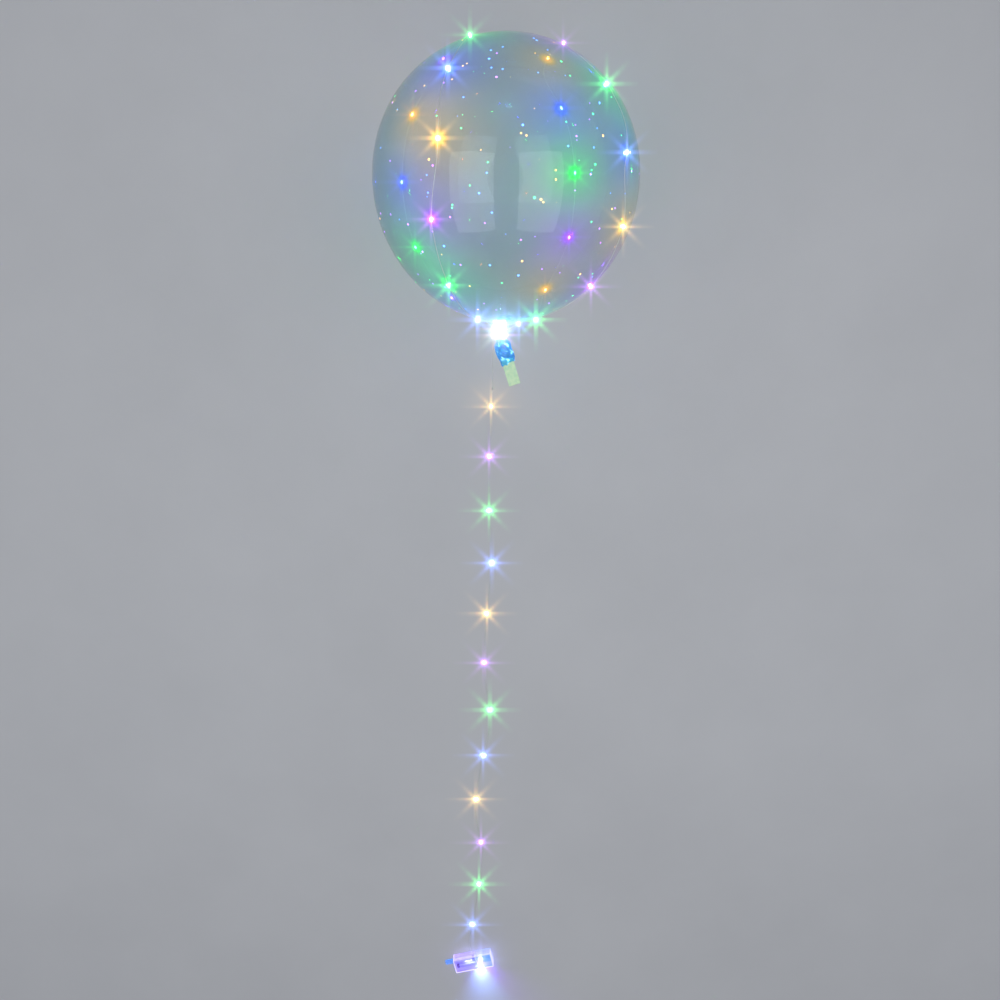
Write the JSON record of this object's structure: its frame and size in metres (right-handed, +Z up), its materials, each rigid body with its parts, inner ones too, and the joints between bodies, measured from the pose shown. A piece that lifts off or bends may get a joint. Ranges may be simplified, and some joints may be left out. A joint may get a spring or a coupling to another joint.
{
  "type": "led balloon",
  "caption": "Round clear film balloon with a wire of small coloured lamps over it, trailing to a clear battery case, lying on the floor.",
  "frame": {"origin": "middle of the small flat spot that the balloon rests on, at floor height", "axes": "+Z up, -Y from the balloon past its neck and along the floor to the battery case"},
  "size_m": [0.3797, 1.7558, 0.3779],
  "materials": {
    "clear_film": "clear, glossy",
    "mint_film": "satin, milky",
    "wire": "fine bare metal pair",
    "sleeve": "matte",
    "case_plastic": "clear, glossy",
    "cell": "bare plain jacket",
    "white_resin": "lit, glossy",
    "amber_resin": "lit, glossy",
    "purple_resin": "lit, glossy",
    "green_resin": "lit, glossy",
    "blue_resin": "lit, glossy"
  },
  "bodies": {
    "root": {"balloon": "clear_film", "valve_strip": "mint_film", "balloon_wire": "wire", "tail_wire": "wire", "neck_end_sleeve": "sleeve", "case_end_sleeve": "sleeve", "case_tray": "case_plastic", "case_lid": "case_plastic", "battery_cell_1": "cell", "battery_cell_2": "cell", "case_lamp": "white_resin", "lamp_01": "amber_resin", "lamp_02": "purple_resin", "lamp_03": "green_resin", "lamp_04": "blue_resin", "lamp_05": "amber_resin", "lamp_06": "purple_resin", "lamp_07": "green_resin", "lamp_08": "blue_resin", "lamp_09": "amber_resin", "lamp_10": "purple_resin", "lamp_11": "green_resin", "lamp_12": "blue_resin", "lamp_13": "amber_resin", "lamp_14": "purple_resin", "lamp_15": "green_resin", "lamp_16": "blue_resin", "lamp_17": "amber_resin", "lamp_18": "purple_resin", "lamp_19": "green_resin", "lamp_20": "blue_resin", "lamp_21": "amber_resin", "lamp_22": "purple_resin", "lamp_23": "green_resin", "lamp_24": "blue_resin", "lamp_25": "amber_resin", "lamp_26": "purple_resin", "lamp_27": "green_resin", "lamp_28": "blue_resin", "lamp_29": "amber_resin", "lamp_30": "purple_resin", "lamp_31": "green_resin", "lamp_32": "blue_resin", "lamp_33": "amber_resin", "lamp_34": "purple_resin", "lamp_35": "green_resin", "lamp_36": "blue_resin", "lamp_37": "amber_resin", "lamp_38": "purple_resin", "lamp_39": "green_resin", "lamp_40": "blue_resin"}
  },
  "joints": []
}
